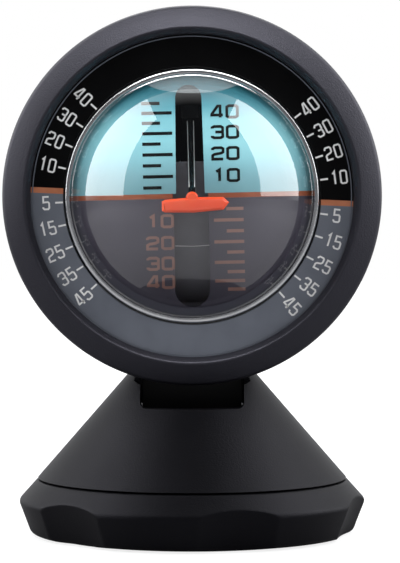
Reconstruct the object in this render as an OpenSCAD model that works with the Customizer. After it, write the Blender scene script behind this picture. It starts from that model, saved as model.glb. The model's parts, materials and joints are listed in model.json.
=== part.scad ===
// Two-axis inclinometer: a liquid-filled ball instrument on a tilting head and a turning foot.
// Millimetres. Z is up, the dial faces -Y, the origin is on the ground under the foot's centre.
// Head parts are drawn with their own Z pointing forward ("f"), from the centre of the ball.

/* [Foot] */
// Radius at the widest edge of the foot
foot_edge_r = 35; // [34:0.5:38]
// Radius at the bottom of the foot
foot_bottom_r = 32.5; // [32.3:0.1:33.5]
// Height of the widest edge
foot_edge_z = 7; // [6.5:0.1:8]
// Height of the seam between foot and cone
seam_z = 11.3; // [11:0.1:12.5]
// Width of the open seam line
seam_gap = 0.4; // [0.2:0.1:0.6]
// Height of the foot's lower rim above the ground
foot_lift = 0.4; // [0.2:0.1:0.8]
// Thickness of the foot's floor
floor_t = 2.2; // [1.8:0.1:2.6]
// Depth of a finger scoop at the widest edge
scoop_depth = 1.7; // [0.8:0.1:2]
// Radius of the curve of a finger scoop
scoop_r = 40; // [25:1:60]
// Number of finger scoops
scoop_count = 6; // [3:1:8]
// Turn of the first scoop from the front, to the right
scoop_turn = 15; // [0:1:59]
// Thickness of the foam tape
pad_t = 1; // [0.6:0.1:1.2]
// Thickness of the base plate
plate_t = 1.6; // [1.4:0.1:1.8]

/* [Cone] */
// Radius of the cone at the seam
cone_base_r = 31.1; // [30.6:0.1:31.6]
// Radius of the cone at its top
cone_top_r = 13.1; // [12.9:0.1:14]
// Height of the cone's top
cone_top_z = 32.2; // [31.5:0.1:32.4]
// Wall of the cone, measured level
cone_wall = 2.9; // [2.2:0.1:3.2]
// Width of the notch for the neck
notch_w = 20.6; // [18:0.1:21]
// Height of the notch's lower edge
notch_z = 26.4; // [25.6:0.1:27]
// Height of the tilt hinge
hinge_z = 22; // [21.5:0.1:22.5]
// Thickness of a hinge ear
ear_t = 2.7; // [2:0.1:3]
// Farthest tilt of the head towards the front
tilt_forward = 6; // [3:1:12]
// Farthest tilt of the head towards the back
tilt_back = 20; // [5:1:20]

/* [Head] */
// Height of the bowl's underside above the tilt hinge
neck_rise = 9.98; // [9.8:0.02:12]
// Distance of the ball's centre in front of the foot's centre
head_front = 1; // [0:0.1:1.5]
// Outer radius of the bezel
bezel_r = 37.5; // [33:0.1:42]
// Width of the bezel's face, from its widest edge to the front edge of its opening
bezel_face_w = 4.6; // [3.6:0.1:5]
// Width of the slope from that front edge in to the opening
bezel_lip_w = 1.1; // [0.8:0.1:1.3]
// How far the bezel's lip stands in front of its widest edge
bezel_crown = 2.3; // [1:0.1:3]
// Widest edge of the bezel in front of the ball's centre
bezel_edge_f = 12; // [11.9:0.1:12.6]
// Length of the bezel's skirt behind its widest edge
bezel_skirt = 6.2; // [5.5:0.1:6.4]
// How much smaller the rear bowl is than the bezel
bowl_step = 0.7; // [0.5:0.1:0.9]
// Wall of the rear bowl
bowl_wall = 2; // [1.6:0.1:2.2]
// Turn of the dial from level
dial_turn = 2.5; // [0:0.5:5]
// Thickness of the dial
dial_t = 1; // [0.8:0.1:1.2]

/* [Capsule] */
// Width between the dome and the bezel's widest edge
dome_margin = 10.6; // [10.4:0.05:10.8]
// Wall of the dome
dome_wall = 1; // [0.8:0.05:1.1]
// Wall of the capsule's rear cup
cup_wall = 1.3; // [1.1:0.1:1.5]
// Width of the clamped flange outside the dome
flange_w = 2.7; // [2.5:0.1:3]
// Front of the dome's flange in front of the ball's centre
flange_f = 10.5; // [10.4:0.1:10.6]
// Thickness of the dome's flange
dome_flange_t = 1.1; // [0.9:0.1:1.2]
// Thickness of the cup's flange
cup_flange_t = 1.7; // [1.6:0.1:1.8]
// Width of the silvery ring round the dome
retainer_w = 1.05; // [0.8:0.05:1.2]
// Gap between the silvery ring and the dial
dial_gap = 0.4; // [0.3:0.1:0.6]

/* [Ball] */
// Depth of the liquid between dome and ball
liquid_gap = 1.9; // [1.8:0.1:2.1]
// Wall of the ball
ball_wall = 1.2; // [1:0.1:1.4]
// Height of the band at the ball's equator
band_h = 0.9; // [0.7:0.1:1.4]
// Width of the front slot at the equator, in the upper half
sky_slot_w = 5.4; // [5:0.1:6]
// Width of the front slot near its upper end
sky_slot_end_w = 4.9; // [4:0.1:5.2]
// Width of the front slot in the lower half
ground_slot_w = 6.6; // [5.8:0.1:7]
// Sideways shift of the front slot, to the right
slot_shift = -0.3; // [-0.5:0.1:0.5]
// Elevation of each end of the slots
slot_end = 59; // [57:1:60]
// Width of the rear slot
rear_slot_w = 9.2; // [8.8:0.1:10]
// Turn of the ball about the fore-and-aft axis as it hangs
ball_lean = 1.3; // [-2:0.1:2]
// Radius of the cross axle
axle_r = 0.75; // [0.6:0.05:0.9]
// Radius of the rear pivot pin
pin_r = 0.8; // [0.7:0.05:0.9]
// Angle of the ball's weight behind its lowest point
weight_turn = 3.4; // [0:0.1:6]

/* [Pointer] */
// Length of the pointer
pointer_l = 12.8; // [10:0.1:14]
// Height of the pointer
pointer_h = 2.9; // [2:0.1:3.2]
// Thickness of the pointer
pointer_t = 0.8; // [0.6:0.1:0.9]
// Height of the pointer's middle below the ball's centre
pointer_drop = 1.7; // [1:0.1:2.2]
// Radius of the pointer's stem
stem_r = 0.6; // [0.4:0.05:0.7]

/* [Hidden] */
run_gap = 0.05;      // radial clearance of turning fits
seat_gap = 0.1;      // between pieces that are fixed together
free_gap = 0.35;     // between pieces that move past each other
fine = 120;          // segments of large circles
small = 40;          // segments of small circles
big = 120;           // reach of cutting blocks

foot_top_z = seam_z - seam_gap / 2;
cone_z = seam_z + seam_gap / 2;
cone_slope = (cone_base_r - cone_top_r) / (cone_top_z - cone_z);
plate_top_z = pad_t + plate_t;
recess_r = cone_base_r - cone_wall;
turntable_r = recess_r - free_gap;
turntable_t = 2.2;
floor_z = foot_top_z - turntable_t;
floor_low_z = floor_z - floor_t;
plate_r = foot_bottom_r - 3.1;
foot_hollow_r = plate_r + 0.2;
collar_r = 6;
collar_end_z = floor_low_z - 0.7;
hub_bore_r = collar_r + run_gap;
swivel_washer_r = 9;
swivel_washer_t = 0.7;
swivel_spring_t = 0.45;
swivel_screw_r = 1.5;
screw_r = 1.05;
screw_head_r = 1.9;
cone_screw_l = 5.2;
pilot_gap = 0.05;
foot_screw_ring_r = 25;
cone_screw_ring_r = 21.5;
boss_r = 3;

ear_x = notch_w / 2;
hinge_bolt_r = 1.5;
hinge_head_r = 2.8;
hinge_head_t = 2;
hinge_washer_r = 4.4;
hinge_washer_t = 0.3;
lug_r = 5.2;
lug_x = ear_x - hinge_washer_t - 0.1;
slot_rear_y = 9.2;

bezel_lip_r = bezel_r - bezel_face_w;
bezel_open_r = bezel_lip_r - bezel_lip_w;
bowl_r = bezel_r - bowl_step;
ball_y = -head_front;
bezel_back_f = bezel_edge_f - bezel_skirt;
bezel_lip_f = bezel_edge_f + bezel_crown;
bowl_f = bezel_back_f - 0.3;
bowl_inner_r = bowl_r - bowl_wall;
neck_top_z = hinge_z + neck_rise;
head_z = neck_top_z + sqrt(pow(bowl_r, 2) - pow(bowl_f + head_front, 2));
dial_back_f = flange_f + seat_gap;
dial_face_f = dial_back_f + dial_t;
dial_r = bezel_open_r + 0.4;
bezel_seat_r = dial_r + 0.2;
spigot_r = bowl_r - 1.4;
spigot_in_r = spigot_r - 3.9;
spigot_f = dial_back_f - 1.1;
skirt_in_r = spigot_r + 0.2;
head_screw_ring_r = (spigot_r + spigot_in_r) / 2;
head_screw_seat_f = -1;
head_screw_end_f = spigot_f + 2.7;

neck_screw_x = 6;
neck_screw_l = 5.4;
neck_seat_z = head_z - 0.9
  - sqrt(pow(bowl_inner_r, 2) - pow(bowl_f + head_front, 2) - pow(neck_screw_x, 2));

dome_r = bezel_r - dome_margin;
flange_r = dome_r + flange_w;
dome_in_r = dome_r - dome_wall;
cup_r = dome_in_r + cup_wall;
dome_back_f = flange_f - dome_flange_t;
cup_face_f = dome_back_f - seat_gap;
cup_back_f = cup_face_f - cup_flange_t;
gasket_ring_r = cup_r + 0.3;
gasket_r = 0.42;
retainer_f = dial_face_f + 0.6;
retainer_in_r = sqrt(dome_r * dome_r - retainer_f * retainer_f);
retainer_r = retainer_in_r + retainer_w;
dial_in_r = retainer_r + dial_gap;
plug_turn = 52;
plug_r = 2;

ball_r = dome_in_r - liquid_gap;
ball_in_r = ball_r - ball_wall;
shade_r = ball_in_r - 4.7;
shade_t = 1;
shade_w = 8.6;
shade_top = 19.4;
hub_r = 3.4;
bush_r = 2;
hub_back_f = -dome_in_r + 1.2;
hub_front_f = hub_back_f + 5.9;
pin_front_f = hub_front_f + 0.7;
pin_back_f = -cup_r - 1.3;
spine_top_z = -3.2;
spine_low_z = -6.2;
arm_foot = [1.2, 3];
arm_top = ball_r * [0.433, 0.558];
stem_foot = [ball_r + free_gap + 0.15, -0.1];
stem_slope = (arm_top.y - stem_foot.y) / (stem_foot.x - arm_top.x);
weight_r = 3.1;
weight_l = 12;
weight_collar = 1.1;
weight_z = weight_r + 2 * weight_collar + shade_t - shade_r;
ballast_in_r = ball_in_r - 2.6;
boss_l = 2;
ballast_w = 20;
ballast_arc = 26;

// ---- Helpers ----

// Radius of the cone's outside at height z
function cone_r(z) = cone_base_r - (z - cone_z) * cone_slope;

// Points of the arc that rounds corner b between a and c with radius r
function round_corner(a, b, c, r, steps = 4) =
  let (
    u = (a - b) / norm(a - b),
    v = (c - b) / norm(c - b),
    half = acos(u * v) / 2,
    middle = b + (u + v) / norm(u + v) * r / sin(half),
    from = b + u * r / tan(half) - middle,
    to = b + v * r / tan(half) - middle,
    start = atan2(from.y, from.x),
    turn = atan2(to.y, to.x) - start,
    sweep = turn > 180 ? turn - 360 : turn < -180 ? turn + 360 : turn
  )
  [for (i = [0:steps]) middle + r * [cos(start + sweep * i / steps), sin(start + sweep * i / steps)]];

// Outline whose corners [x, y, r] are rounded where r is above zero
function rounded(corners) =
  let (count = len(corners))
  [for (i = [0:count - 1])
    let (
      before = corners[(i + count - 1) % count],
      here = corners[i],
      after = corners[(i + 1) % count]
    )
    each here.z == 0
      ? [[here.x, here.y]]
      : round_corner([before.x, before.y], [here.x, here.y], [after.x, after.y], here.z)];

module turned(corners) {
  rotate_extrude($fn = fine) polygon(rounded(corners));
}

// Puts children round the Z axis
module around(count, first = 0) {
  for (i = [0:count - 1]) rotate([0, 0, first + i * 360 / count]) children();
}

// Head coordinates: local Z points forward, local Y up, from the ball's centre
module in_head() {
  translate([0, ball_y, head_z]) rotate([90, 0, 0]) children();
}

// Ball coordinates: as in_head, leaning with the roll frame
module in_ball() {
  in_head() rotate([0, 0, ball_lean]) children();
}

module ring(outer_r, inner_r, low, high, segments = fine) {
  difference() {
    translate([0, 0, low]) cylinder(r = outer_r, h = high - low, $fn = segments);
    translate([0, 0, low - 1]) cylinder(r = inner_r, h = high - low + 2, $fn = segments);
  }
}

module post(r, low, high) {
  translate([0, 0, low]) cylinder(r = r, h = high - low, $fn = small);
}

module disc(r, low, high) {
  translate([0, 0, low]) cylinder(r = r, h = high - low, $fn = fine);
}

// Box from one corner to the opposite one
module block(low, high) {
  translate(low) cube(high - low);
}

// Round bar along X
module cross_bar(r, low, high) {
  rotate([0, 90, 0]) post(r, low, high);
}

module shell(outer_r, inner_r) {
  difference() {
    sphere(r = outer_r, $fn = fine);
    sphere(r = inner_r, $fn = fine);
  }
}

// Cross recess in a screw head whose top is at z = 0
module cross_recess(size, depth) {
  for (turn = [0, 90]) rotate([0, 0, turn])
    translate([-size / 2, -size / 8, -depth]) cube([size, size / 4, depth + 1]);
}

// Screw standing head-up with the underside of its head at z = 0
module screw(shank_r, shank_l, head_r, head_t) {
  difference() {
    union() {
      post(shank_r, -shank_l, 0);
      post(head_r, 0, head_t);
    }
    translate([0, 0, head_t]) cross_recess(head_r * 1.3, head_t / 2);
  }
}

// ---- Foot ----

module adhesive_pad() {
  color("dimgray") disc(plate_r - 0.4, 0, pad_t);
}

module base_plate() {
  color("#1c1c1f") difference() {
    disc(plate_r, pad_t, plate_top_z);
    around(3, 30) translate([foot_screw_ring_r, 0, 0]) {
      post(screw_r + 0.2, 0, plate_top_z + 1);
      translate([0, 0, pad_t - 0.01])
        cylinder(r1 = 2.4, r2 = screw_r + 0.2, h = 1.1, $fn = small);
    }
  }
}

module base_plate_screws() {
  color("silver") around(3, 30) translate([foot_screw_ring_r, 0, 0]) difference() {
    union() {
      post(screw_r, pad_t + 0.1, floor_low_z - 0.6);
      translate([0, 0, pad_t + 0.1]) cylinder(r1 = 2.1, r2 = screw_r, h = 0.95, $fn = small);
    }
    translate([0, 0, pad_t + 0.1]) mirror([0, 0, 1]) cross_recess(2.4, 0.6);
  }
}

module finger_scoop() {
  lean = atan2(foot_edge_r - foot_bottom_r, foot_edge_z - foot_lift);
  translate([0, -foot_edge_r + scoop_depth, foot_edge_z]) rotate([lean, 0, 0])
    translate([0, -scoop_r, -big / 4]) cylinder(r = scoop_r, h = big / 2, $fn = fine);
}

module base_ring() {
  color("#222226") difference() {
    union() {
      turned([
        [foot_hollow_r, foot_lift, 0], [foot_bottom_r, foot_lift, 0.8],
        [foot_edge_r, foot_edge_z, 0.8], [cone_base_r + seam_gap / 2, foot_top_z, 0],
        [recess_r, foot_top_z, 0], [recess_r, floor_z, 0],
        [hub_bore_r, floor_z, 0], [hub_bore_r, floor_low_z, 0],
        [foot_hollow_r, floor_low_z, 0]
      ]);
      around(3, 30) translate([foot_screw_ring_r, 0, 0])
        post(boss_r, plate_top_z + seat_gap, floor_low_z + 0.1);
    }
    around(3, 30) translate([foot_screw_ring_r, 0, 0])
      post(screw_r + pilot_gap, 0, floor_low_z - 0.2);
    around(scoop_count, scoop_turn) finger_scoop();
  }
}

// ---- Cone and its fittings ----

module cone_solid(inset, top) {
  translate([0, 0, cone_z])
    cylinder(r1 = cone_base_r - inset, r2 = cone_r(top) - inset, h = top - cone_z, $fn = fine);
}

module notch_outline() {
  corner = 1.2;
  translate([-ear_x, notch_z + corner]) square([notch_w, big]);
  translate([corner - ear_x, notch_z]) square([notch_w - 2 * corner, big]);
  for (side = [-1, 1])
    translate([side * (ear_x - corner), notch_z + corner]) circle(r = corner, $fn = small);
}

// Space that the head sweeps as it tilts
module head_sweep() {
  clear = 0.45;
  for (tilt = [-tilt_back, -tilt_back / 2, 0, tilt_forward / 3, tilt_forward * 2 / 3, tilt_forward])
    translate([0, 0, hinge_z]) rotate([tilt, 0, 0]) translate([0, 0, -hinge_z]) in_head() {
      translate([0, 0, bowl_f]) sphere(r = bowl_r + clear, $fn = fine);
      translate([0, 0, bezel_back_f - clear])
        cylinder(r = bezel_r + clear, h = bezel_skirt + bezel_crown + clear, $fn = fine);
    }
}

module cone_cover() {
  cap_z = cone_top_z - 2.6;
  color("#26262a") difference() {
    union() {
      difference() {
        cone_solid(0, cone_top_z);
        translate([0, 0, -0.01]) cone_solid(cone_wall, cap_z);
      }
      intersection() {
        cone_solid(cone_wall / 2, cone_top_z);
        for (side = [-1, 1])
          translate([side * (ear_x + ear_t / 2), 0, hinge_z + 5])
            cube([ear_t, big, 21], center = true);
      }
      intersection() {
        cone_solid(cone_wall / 2, cone_top_z);
        around(3, 90) translate([cone_screw_ring_r, 0, 0]) post(boss_r, cone_z, hinge_z);
      }
    }
    rotate([90, 0, 0]) translate([0, 0, -slot_rear_y])
      linear_extrude(big) notch_outline();
    hinge_hole();
    around(3, 90) translate([cone_screw_ring_r, 0, 0])
      post(screw_r + pilot_gap, cone_z - 1, cone_z + 5);
    head_sweep();
  }
}

module hinge_hole() {
  translate([0, 0, hinge_z])
    cross_bar(hinge_bolt_r + run_gap, -ear_x - ear_t - 1, ear_x + ear_t + 1);
}

module turntable() {
  color("#2c2c30") difference() {
    union() {
      disc(turntable_r, floor_z + 0.15, cone_z - seat_gap);
      post(collar_r, collar_end_z, floor_z + 1);
    }
    post(swivel_screw_r + pilot_gap, 0, cone_z + 1);
    around(3, 90) translate([cone_screw_ring_r, 0, 0]) {
      post(screw_r + 0.15, 0, cone_z + 1);
      post(2.2, 0, floor_z + 1.3);
    }
  }
}

module turntable_screws() {
  color("silver") around(3, 90)
    translate([cone_screw_ring_r, 0, floor_z + 1.2]) rotate([180, 0, 0])
      screw(screw_r, cone_screw_l, screw_head_r, 0.9);
}

module swivel_screw() {
  color("silver") translate([0, 0, collar_end_z - swivel_washer_t - 0.1])
    rotate([180, 0, 0]) screw(swivel_screw_r, cone_z - collar_end_z, 3, 1.7);
}

module swivel_washer() {
  color("gainsboro")
    ring(swivel_washer_r, swivel_screw_r + 0.1, collar_end_z - swivel_washer_t - 0.05,
      collar_end_z - 0.05);
}

module swivel_spring() {
  color("gray")
    ring(swivel_washer_r - 0.3, collar_r + 0.3, collar_end_z, collar_end_z + swivel_spring_t);
}

module hinge_bolt() {
  end_x = ear_x + ear_t;
  color("silver") translate([0, 0, hinge_z]) rotate([0, 90, 0]) difference() {
    union() {
      post(hinge_bolt_r, -end_x - 2.4, end_x + 0.1);
      post(hinge_head_r, end_x + 0.1, end_x + 0.1 + hinge_head_t);
    }
    translate([0, 0, end_x + 0.1 + hinge_head_t]) cross_recess(3.6, 1.1);
  }
}

module hinge_nut() {
  end_x = ear_x + ear_t;
  color("silver") translate([0, 0, hinge_z]) rotate([0, -90, 0]) difference() {
    translate([0, 0, end_x + 0.1]) cylinder(r = hinge_head_r, h = hinge_head_t, $fn = 6);
    post(hinge_bolt_r + pilot_gap, 0, end_x + 5);
  }
}

module hinge_washers() {
  color("gainsboro") for (side = [-1, 1])
    translate([side * (ear_x - hinge_washer_t / 2 - 0.05), 0, hinge_z]) rotate([0, 90, 0])
      ring(hinge_washer_r, hinge_bolt_r + run_gap, -hinge_washer_t / 2, hinge_washer_t / 2, small);
}

// ---- Head ----

module neck_screw_places() {
  for (side = [-1, 1]) translate([side * neck_screw_x, 0, 0]) children();
}

module neck_bracket() {
  color("#101012") difference() {
    union() {
      translate([0, 0, hinge_z]) cross_bar(lug_r, -lug_x, lug_x);
      block([-lug_x, -lug_r, hinge_z], [lug_x, lug_r, neck_top_z + 4]);
    }
    translate([0, 0, hinge_z]) cross_bar(hinge_bolt_r + run_gap, -ear_x, ear_x);
    in_head() translate([0, 0, bowl_f]) sphere(r = bowl_r + run_gap, $fn = fine);
    neck_screw_places() post(screw_r + pilot_gap, neck_top_z - 5, neck_top_z + 5);
  }
}

module neck_screws() {
  color("silver") neck_screw_places() translate([0, 0, neck_seat_z + 0.05])
    screw(screw_r, neck_screw_l, screw_head_r, 1.1);
}

module housing_screw_places() {
  around(4, 45) translate([head_screw_ring_r, 0, 0]) children();
}

module rear_housing() {
  seat_in_r = cup_r + 0.8;
  color("#1d1d20") difference() {
    union() {
      in_head() {
        difference() {
          translate([0, 0, bowl_f]) sphere(r = bowl_r, $fn = fine);
          translate([0, 0, bowl_f]) sphere(r = bowl_inner_r, $fn = fine);
          translate([0, 0, bowl_f]) cylinder(r = big, h = big);
        }
        ring(bowl_inner_r + 0.5, seat_in_r, bowl_f - 0.6, cup_back_f - seat_gap);
        ring(spigot_r, spigot_in_r, bowl_f - 0.6, spigot_f);
        intersection() {
          housing_screw_places() post(3.1, -bowl_r, bowl_f);
          translate([0, 0, bowl_f]) sphere(r = bowl_r - 0.3, $fn = fine);
          ring(big, cup_r + 0.6, -big, bowl_f);
        }
      }
      intersection() {
        neck_screw_places() post(2.9, neck_top_z - 1, neck_seat_z + 0.01);
        in_head() translate([0, 0, bowl_f]) sphere(r = bowl_r - 0.3, $fn = fine);
      }
    }
    in_head() housing_screw_places() {
      post(screw_r + 0.15, -big, spigot_f + 1);
      post(screw_head_r + 0.2, -big, head_screw_seat_f);
    }
    neck_screw_places() {
      post(screw_r + 0.15, neck_top_z - 5, neck_seat_z + 1);
      post(2.2, neck_seat_z, neck_seat_z + 6);
    }
  }
}

module housing_screws() {
  color("silver") in_head() housing_screw_places()
    translate([0, 0, head_screw_seat_f - 0.05]) rotate([180, 0, 0])
      screw(screw_r, head_screw_end_f - head_screw_seat_f, screw_head_r, 1.5);
}

module bezel_ring() {
  color("#2b2b2f") in_head() difference() {
    turned([
      [skirt_in_r, bezel_back_f, 0], [bezel_r - 0.4, bezel_back_f, 0.4],
      [bezel_r, bezel_edge_f, 1], [bezel_lip_r, bezel_lip_f, 0.5],
      [bezel_open_r, bezel_lip_f - 1.3, 0.2], [bezel_open_r, dial_face_f + seat_gap, 0],
      [bezel_seat_r, dial_face_f + seat_gap, 0], [bezel_seat_r, spigot_f + 0.2, 0],
      [skirt_in_r, spigot_f + 0.2, 0]
    ]);
    housing_screw_places() post(screw_r + pilot_gap, 0, head_screw_end_f + 0.3);
  }
}

module dial_ring() {
  color("#5f636e") in_head() rotate([0, 0, -dial_turn])
    ring(dial_r, dial_in_r, dial_back_f, dial_face_f);
}

module dome_retainer() {
  low_f = flange_f + seat_gap / 2;
  low_in_r = sqrt(dome_r * dome_r - low_f * low_f) + run_gap;
  color("gainsboro") in_head() turned([
    [low_in_r, low_f, 0], [retainer_r, low_f, 0],
    [retainer_r, retainer_f, 0.4], [retainer_in_r + run_gap, retainer_f, 0]
  ]);
}

module dome() {
  color("azure", 0.3) in_head() {
    difference() {
      union() {
        sphere(r = dome_r, $fn = fine);
        disc(flange_r, dome_back_f, flange_f);
      }
      sphere(r = dome_in_r, $fn = fine);
      translate([0, 0, dome_back_f - big]) cylinder(r = big, h = big);
    }
  }
}

module dome_gasket() {
  color("#151515") in_head() translate([0, 0, cup_face_f - gasket_r + seat_gap - 0.02])
    rotate_extrude($fn = fine) translate([gasket_ring_r, 0]) circle(r = gasket_r, $fn = small);
}

module plug_place() {
  in_head() rotate([180 + plug_turn, 0, 0]) children();
}

module capsule_cup() {
  color("#141416") difference() {
    union() {
      in_head() {
        difference() {
          sphere(r = cup_r, $fn = fine);
          translate([0, 0, cup_face_f]) cylinder(r = big, h = big);
        }
        disc(flange_r, cup_back_f, cup_face_f);
        post(3, pin_back_f, -dome_in_r);
      }
      plug_place() post(plug_r + 1.6, dome_in_r - 1, cup_r + 1.2);
    }
    in_head() {
      sphere(r = dome_in_r, $fn = fine);
      post(pin_r + 0.02, pin_back_f + 0.6, 0);
      ring(gasket_ring_r + gasket_r + 0.08, gasket_ring_r - gasket_r - 0.08,
        cup_face_f - 2 * gasket_r, cup_face_f + 1);
    }
    plug_place() post(plug_r + pilot_gap, 0, cup_r + 5);
  }
}

module fill_plug() {
  color("dimgray") plug_place() translate([0, 0, cup_r + 1.75])
    screw(plug_r, cup_wall + 1.4, plug_r + 0.9, 1.1);
}

module fill_seal() {
  color("#151515") plug_place()
    ring(plug_r + 0.8, plug_r + pilot_gap, cup_r + 1.22, cup_r + 1.7, small);
}

module roll_pin() {
  color("silver") in_head() post(pin_r, pin_back_f + 0.65, pin_front_f);
}

module pin_clip() {
  color("gray") in_head()
    ring(2.2, pin_r + 0.02, pin_front_f - 0.5, pin_front_f - 0.1, small);
}

// ---- Roll frame, in ball coordinates ----

module roll_frame() {
  arm_angle = atan2(arm_top.y - arm_foot.y, arm_top.x - arm_foot.x);
  arm_l = norm(arm_top - arm_foot);
  color("#121214") in_ball() difference() {
    union() {
      post(hub_r, hub_back_f, hub_front_f);
      block([-3, spine_low_z, hub_back_f], [3, spine_top_z, 3]);
      block([-3, spine_low_z, -3], [3, 3.6, 3]);
      translate([0, arm_foot.y, arm_foot.x]) rotate([-arm_angle, 0, 0])
        block([-1.6, -1.5, -1], [1.6, 1.5, arm_l + 1.2]);
      intersection() {
        block([-2, -big, -2], [2, spine_low_z + 1, 2]);
        sphere(r = shade_r - shade_t - 0.02, $fn = fine);
      }
      translate([0, weight_z, 0]) cross_bar(weight_r + weight_collar, -2, 2);
    }
    post(bush_r + 0.02, hub_back_f - 1, hub_front_f + 1);
    cross_bar(axle_r + 0.02, -big, big);
    translate([0, weight_z, 0]) cross_bar(weight_r + 0.02, -big, big);
    stem_line(stem_r + 0.02);
  }
}

// Straight line of the stem, from the pointer up and back into the frame's arm
module stem_line(r) {
  stem_l = norm([stem_foot.x - arm_top.x, arm_top.y - stem_foot.y]);
  translate([0, stem_foot.y, stem_foot.x]) rotate([atan(stem_slope), 0, 0])
    rotate([180, 0, 0]) post(r, 0, stem_l + 1.2);
}

module roll_bush() {
  color("goldenrod") in_ball() ring(bush_r, pin_r + run_gap, hub_back_f, hub_front_f, small);
}

module roll_weight() {
  color("goldenrod") in_ball() translate([0, weight_z, 0])
    cross_bar(weight_r, -weight_l / 2, weight_l / 2);
}

module drum_axle() {
  color("silver") in_ball() cross_bar(axle_r, 0.3 - ball_in_r, ball_in_r - 0.3);
}

module slot_shade() {
  color("#4a494d") in_ball() intersection() {
    shell(shade_r, shade_r - shade_t);
    translate([-shade_w / 2, -big, -big / 2]) cube([shade_w, big * 2, big]);
    union() {
      block([-shade_w, -big, 0], [shade_w, 0, big]);
      rotate([-shade_top, 0, 0]) block([-shade_w, -big, 0], [shade_w, 0, big]);
      block([-shade_w, -big, -3], [shade_w, 0, 1]);
    }
  }
}

module pointer_stem() {
  color("#0c0c0e") in_ball() stem_line(stem_r);
}

// Pointer, seen from the front: a blunt tail on the left and a point on the right
module pointer() {
  half_l = pointer_l / 2;
  half_h = pointer_h / 2;
  inner = ball_r + free_gap;
  color("orangered") in_ball() difference() {
    intersection() {
      shell(inner + pointer_t, inner);
      union() {
        translate([0.6, -pointer_drop, 0]) linear_extrude(big) polygon([
          [-half_l, half_h * 0.55], [-half_l + 0.6, half_h * 0.75], [-0.3, half_h],
          [half_l - 1.1, half_h * 0.95], [half_l, half_h * 0.25], [half_l - 1.1, -half_h * 0.7],
          [-0.3, -half_h], [-half_l + 0.6, -half_h * 0.9], [-half_l, -half_h * 0.7]
        ]);
        translate([0, stem_foot.y - 0.15, 0]) cylinder(r = 1.3, h = big, $fn = small);
      }
    }
    stem_line(stem_r + 0.02);
  }
}

// ---- Ball, in ball coordinates ----

// Front slot of one half, seen from the front
module slot_outline(side, middle_w, end_w) {
  end_y = (ball_r * sin(slot_end) - end_w / 2) * side;
  translate([slot_shift, 0]) {
    polygon([
      [-middle_w / 2, 0], [middle_w / 2, 0], [end_w / 2, end_y], [-end_w / 2, end_y]
    ]);
    translate([0, end_y]) circle(r = end_w / 2, $fn = small);
  }
}

module rear_slot() {
  end_y = ball_r * sin(slot_end + 4);
  translate([-rear_slot_w / 2, -end_y, -big]) cube([rear_slot_w, end_y * 2, big]);
}

module half_shell(side, middle_w, end_w) {
  in_ball() difference() {
    intersection() {
      shell(ball_r, ball_in_r);
      translate([-big / 2, side > 0 ? band_h / 2 + 0.02 : -big - band_h / 2 - 0.02, -big / 2])
        cube([big, big, big]);
    }
    linear_extrude(big) slot_outline(side, middle_w, end_w);
    rear_slot();
  }
}

module sky_shell() {
  color("skyblue") half_shell(1, sky_slot_w, sky_slot_end_w);
}

module ground_shell() {
  color("#5e5a60") half_shell(-1, ground_slot_w, ground_slot_w);
}

module horizon_band() {
  boss = 2.1;
  boss_in_x = ball_in_r - boss_l;
  boss_end_x = sqrt(ball_in_r * ball_in_r - boss * boss) - 0.05;
  color("sienna") in_ball() difference() {
    union() {
      rotate([90, 0, 0]) ring(ball_r, ball_in_r, -band_h / 2, band_h / 2);
      for (side = [-1, 1]) rotate([0, 90 - 90 * side, 0]) {
        cross_bar(boss, boss_in_x, boss_end_x);
        block([boss_in_x, -band_h / 2, -boss + 0.3], [ball_in_r + 0.3, band_h / 2, boss - 0.3]);
      }
    }
    cross_bar(axle_r + run_gap, 0.1 - ball_in_r, ball_in_r - 0.1);
    translate([slot_shift - ground_slot_w / 2, -big / 2, 0]) cube([ground_slot_w, big, big]);
    rear_slot();
  }
}

module drum_weight() {
  color("goldenrod") in_ball() rotate([weight_turn, 0, 0]) intersection() {
    shell(ball_in_r - 0.1, ballast_in_r);
    block([-ballast_w / 2, -big, -big], [ballast_w / 2, 0, big]);
    rotate([-ballast_arc / 2, 0, 0]) block([-big, -big, -big], [big, 0, 0]);
    rotate([ballast_arc / 2, 0, 0]) block([-big, -big, 0], [big, 0, big]);
  }
}

adhesive_pad();
base_plate();
base_plate_screws();
base_ring();
cone_cover();
turntable();
turntable_screws();
swivel_screw();
swivel_washer();
swivel_spring();
hinge_bolt();
hinge_nut();
hinge_washers();
neck_bracket();
neck_screws();
rear_housing();
housing_screws();
bezel_ring();
dial_ring();
dome_retainer();
dome();
dome_gasket();
capsule_cup();
fill_plug();
fill_seal();
roll_pin();
pin_clip();
roll_frame();
roll_bush();
roll_weight();
drum_axle();
slot_shade();
pointer_stem();
pointer();
sky_shell();
ground_shell();
horizon_band();
drum_weight();
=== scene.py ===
import json
from math import asin, atan2, cos, degrees, pi, radians, sin, sqrt

import bmesh
import bpy
from mathutils import Matrix, Vector


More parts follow.
